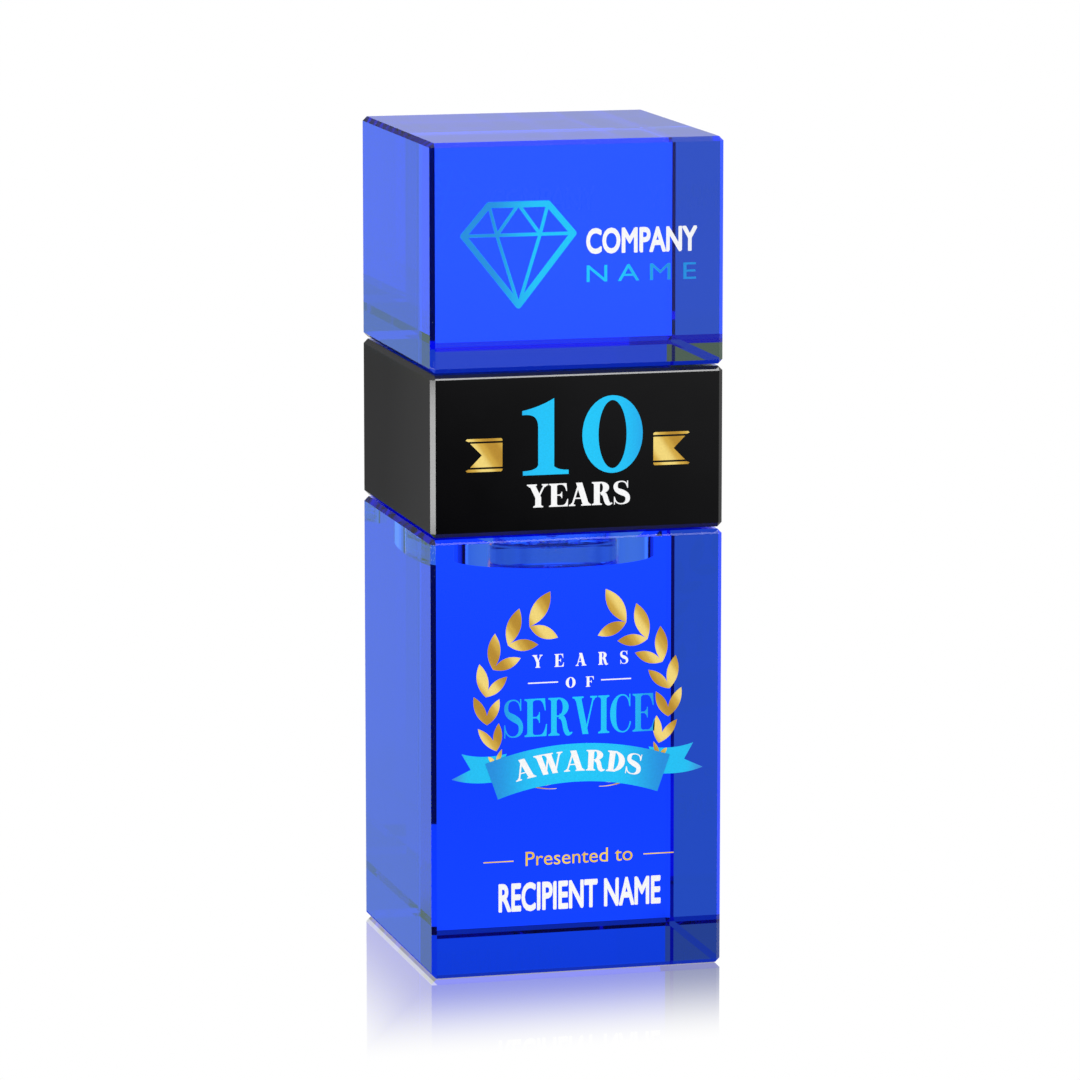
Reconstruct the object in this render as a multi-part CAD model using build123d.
"""Column trophy: three square crystal blocks stacked on two swivels, so that each block turns on its own.

Origin: centre of the underside of the lower block. +Z up, -Y is the printed front. Millimetres.
"""

import os

from build123d import *

# Blocks
SIDE = 60.0  # every block is square in plan
LOWER_HEIGHT = 89.0
MIDDLE_HEIGHT = 32.5
TOP_HEIGHT = 45.5
SEAM = 0.4  # air gap between two blocks
BLOCK_CHAMFER = 0.9

# Pocket in the top of the lower and middle blocks, which holds a swivel
POCKET_DIAMETER = 41.5
POCKET_DEPTH = 7.5
POCKET_CHAMFER = 0.25

# Swivel: two clear discs that turn on each other
DISC_DIAMETER = 40.0
DISC_CHAMFER = 0.3
STATOR_THICKNESS = 4.0
GLUE_THICKNESS = 0.15
GLUE_DIAMETER = 37.0
SPIGOT_DIAMETER = 6.0
RUNNING_CLEARANCE = 0.05  # radial, between the spigot and the rotor's bore
ROTOR_WEB = 1.2  # left under the rotor's counterbore
COUNTERBORE_DIAMETER = 11.5
SEAT_GAP = 0.02  # left between faces that rest on each other, for surface texture

# Low-friction washer between the discs
THRUST_WASHER_DIAMETER = 15.0
THRUST_WASHER_BORE = 6.3
THRUST_WASHER_THICKNESS = 0.36

# Stack in the counterbore that holds the discs together
SPRING_DIAMETER = 10.2
SPRING_BORE = 6.4
SPRING_SHEET = 0.25
SPRING_HEIGHT = 0.45
SPRING_CLEARANCE = 0.03  # below the spring, over the rotor's web
RETAINER_DIAMETER = 9.6
RETAINER_BORE = 3.3
RETAINER_THICKNESS = 0.5
SCREW_DIAMETER = 3.0
SCREW_LENGTH = 3.5  # under the head
SCREW_HEAD_DIAMETER = 5.5
SCREW_HEAD_HEIGHT = 0.9
SCREW_SOCKET_WIDTH = 2.0  # across flats
SCREW_SOCKET_DEPTH = 0.5
THREAD_CLEARANCE = 0.02  # radial, between the plain shank and its hole
HOLE_BEYOND_SCREW = 0.3

middle_base = LOWER_HEIGHT + SEAM
top_base = middle_base + MIDDLE_HEIGHT + SEAM
disc_gap = THRUST_WASHER_THICKNESS + 2 * SEAT_GAP
rotor_thickness = POCKET_DEPTH + SEAM - STATOR_THICKNESS - disc_gap - 2 * GLUE_THICKNESS


def disc(diameter, height, base=0.0, bore=0.0):
    """Round plate standing on height base, with an optional hole through it."""
    plate = Pos(0, 0, base) * Cylinder(diameter / 2, height, align=(Align.CENTER, Align.CENTER, Align.MIN))
    if bore:
        plate -= Pos(0, 0, base) * Cylinder(bore / 2, height, align=(Align.CENTER, Align.CENTER, Align.MIN))
    return plate


def round_edges_at(part, height, radius):
    """The part's circular edges of one radius at one height."""
    return [
        edge
        for edge in part.edges().filter_by(GeomType.CIRCLE)
        if abs(edge.center().Z - height) < 1e-4 and abs(edge.radius - radius) < 1e-4
    ]


def block(height, base):
    """Square block with every outer edge bevelled."""
    blank = Pos(0, 0, base) * Box(SIDE, SIDE, height, align=(Align.CENTER, Align.CENTER, Align.MIN))
    return chamfer(blank.edges(), BLOCK_CHAMFER)


def pocketed_block(height, base):
    """Block with a round flat-bottomed pocket in its top."""
    top = base + height
    body = block(height, base) - disc(POCKET_DIAMETER, POCKET_DEPTH, top - POCKET_DEPTH)
    return chamfer(round_edges_at(body, top, POCKET_DIAMETER / 2), POCKET_CHAMFER)


def stator(base, spigot_top):
    """Fixed disc: it carries a spigot with a hole for the screw."""
    top = base + STATOR_THICKNESS
    body = disc(DISC_DIAMETER, STATOR_THICKNESS, base)
    rims = round_edges_at(body, base, DISC_DIAMETER / 2) + round_edges_at(body, top, DISC_DIAMETER / 2)
    body = chamfer(rims, DISC_CHAMFER)
    body += disc(SPIGOT_DIAMETER, spigot_top - top, top)
    screw_hole_bottom = spigot_top + RETAINER_THICKNESS - SCREW_LENGTH - HOLE_BEYOND_SCREW
    return body - disc(SCREW_DIAMETER, spigot_top - screw_hole_bottom, screw_hole_bottom)


def rotor(base):
    """Turning disc: it runs on the spigot and has a counterbore for the screw and washers."""
    top = base + rotor_thickness
    bore = SPIGOT_DIAMETER + 2 * RUNNING_CLEARANCE
    body = disc(DISC_DIAMETER, rotor_thickness, base, bore)
    rims = round_edges_at(body, base, DISC_DIAMETER / 2) + round_edges_at(body, top, DISC_DIAMETER / 2)
    body = chamfer(rims, DISC_CHAMFER)
    return body - disc(COUNTERBORE_DIAMETER, rotor_thickness - ROTOR_WEB, base + ROTOR_WEB)


def spring_washer(base):
    """Slightly conical washer, its wide end down."""
    rise = SPRING_HEIGHT - SPRING_SHEET
    section = Polyline(
        (SPRING_BORE / 2, base + rise),
        (SPRING_DIAMETER / 2, base),
        (SPRING_DIAMETER / 2, base + SPRING_SHEET),
        (SPRING_BORE / 2, base + SPRING_HEIGHT),
        close=True,
    )
    return revolve(Plane.XZ * make_face(section), Axis.Z)


def screw(head_base):
    """Low-head screw with a hexagon socket, thread drawn as a plain shank."""
    head_top = head_base + SCREW_HEAD_HEIGHT
    shank_diameter = SCREW_DIAMETER - 2 * THREAD_CLEARANCE
    body = disc(SCREW_HEAD_DIAMETER, SCREW_HEAD_HEIGHT, head_base)
    body += disc(shank_diameter, SCREW_LENGTH, head_base - SCREW_LENGTH)
    socket = RegularPolygon(SCREW_SOCKET_WIDTH / 2, 6, major_radius=False)
    return body - extrude(Pos(0, 0, head_top) * socket, -SCREW_SOCKET_DEPTH)


def swivel(prefix, seat):
    """The pieces of one swivel, by node name. seat is the height of the pocket's floor."""
    stator_base = seat + GLUE_THICKNESS
    washer_base = stator_base + STATOR_THICKNESS + SEAT_GAP
    rotor_base = stator_base + STATOR_THICKNESS + disc_gap
    rotor_top = rotor_base + rotor_thickness
    spring_base = rotor_base + ROTOR_WEB + SPRING_CLEARANCE
    spigot_top = spring_base + SPRING_HEIGHT
    retainer_base = spigot_top + SEAT_GAP
    head_base = retainer_base + RETAINER_THICKNESS + SEAT_GAP
    pieces = {
        "floor_adhesive": disc(GLUE_DIAMETER, GLUE_THICKNESS, seat),
        "stator": stator(stator_base, spigot_top),
        "thrust_washer": disc(
            THRUST_WASHER_DIAMETER, THRUST_WASHER_THICKNESS, washer_base, THRUST_WASHER_BORE
        ),
        "rotor": rotor(rotor_base),
        "spring_washer": spring_washer(spring_base),
        "retainer": disc(RETAINER_DIAMETER, RETAINER_THICKNESS, retainer_base, RETAINER_BORE),
        "screw": screw(head_base),
        "roof_adhesive": disc(GLUE_DIAMETER, GLUE_THICKNESS, rotor_top, COUNTERBORE_DIAMETER),
    }
    return {f"{prefix}_{name}": piece for name, piece in pieces.items()}


nodes = {
    "lower_block": pocketed_block(LOWER_HEIGHT, 0),
    "middle_block": pocketed_block(MIDDLE_HEIGHT, middle_base),
    "top_block": block(TOP_HEIGHT, top_base),
    **swivel("lower_swivel", LOWER_HEIGHT - POCKET_DEPTH),
    **swivel("upper_swivel", middle_base + MIDDLE_HEIGHT - POCKET_DEPTH),
}

os.makedirs("parts", exist_ok=True)
for name, piece in nodes.items():
    export_step(piece, f"parts/{name}.step")
